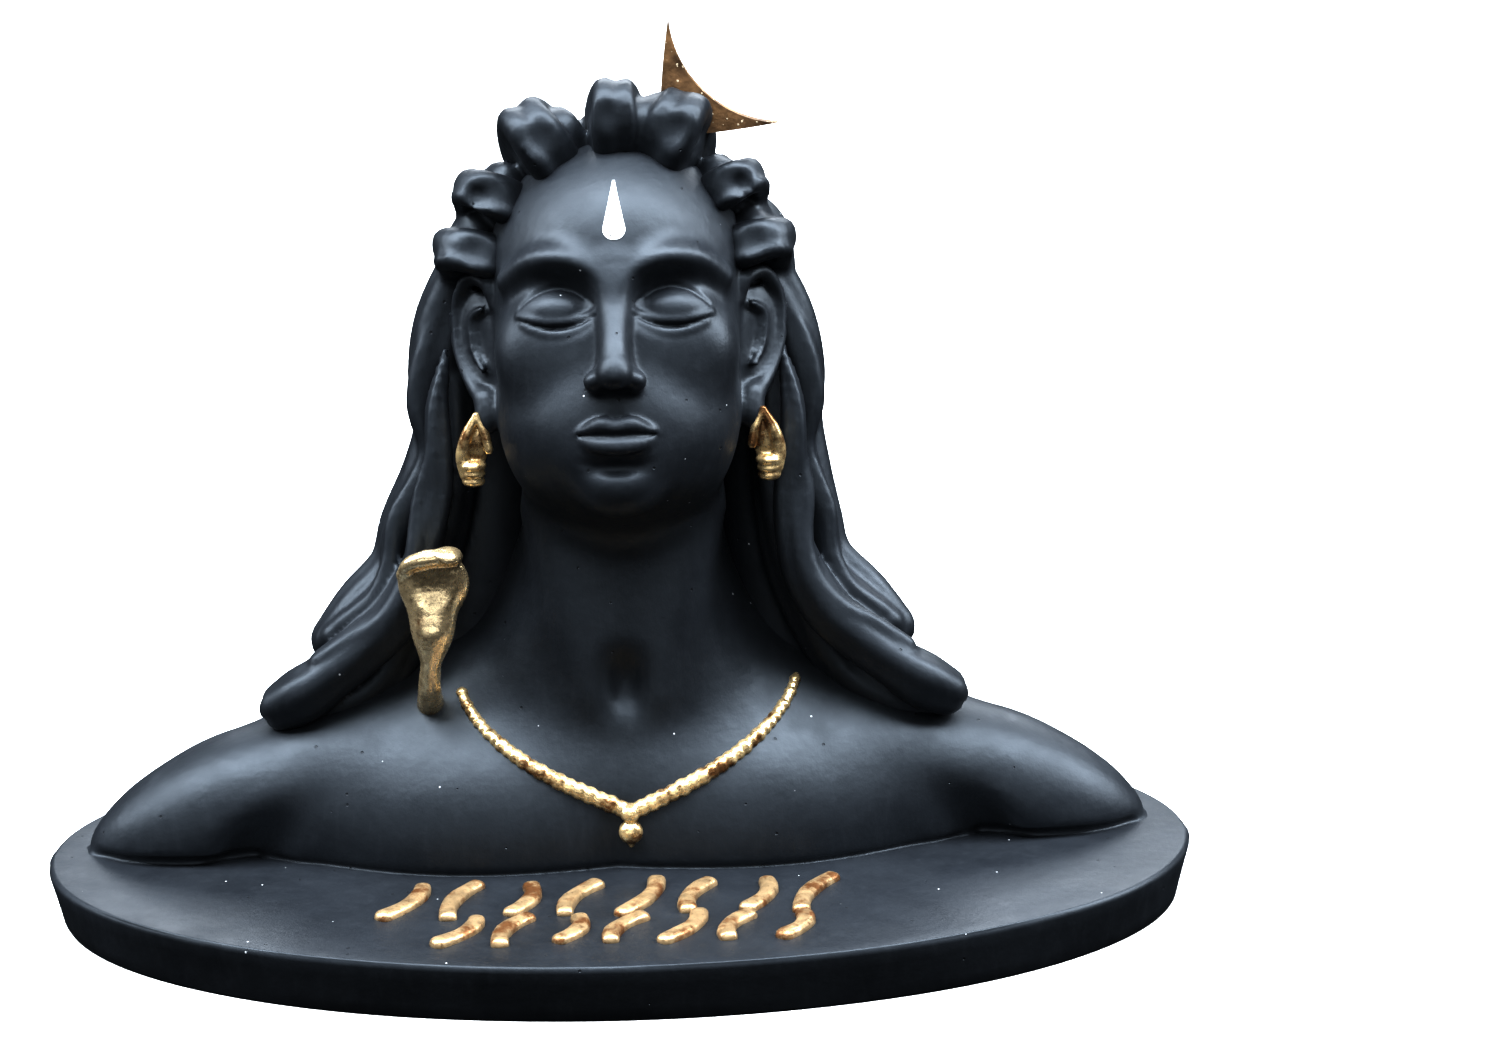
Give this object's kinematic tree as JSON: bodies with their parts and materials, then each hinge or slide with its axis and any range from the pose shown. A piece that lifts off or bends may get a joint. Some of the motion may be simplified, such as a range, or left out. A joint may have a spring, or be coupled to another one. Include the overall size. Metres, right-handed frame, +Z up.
{
  "type": "shiva bust figure",
  "caption": "Bust of Shiva on an oval slab, looking up, with rolled hair, a cobra on the shoulder, a necklace and a crescent moon in the hair.",
  "frame": {"origin": "middle of the slab's underside, which is the middle of the part's bottom", "axes": "+Z up, +X along the slab's long axis to the right as seen from in front, -Y the way the figure faces"},
  "size_m": [0.14, 0.082, 0.1072],
  "materials": {
    "dark_resin": "matte painted cast resin",
    "gilt": "bright gilt paint with darker specks"
  },
  "bodies": {
    "root": {"shiva_figure": "dark_resin", "crescent_moon": "gilt"}
  },
  "joints": []
}
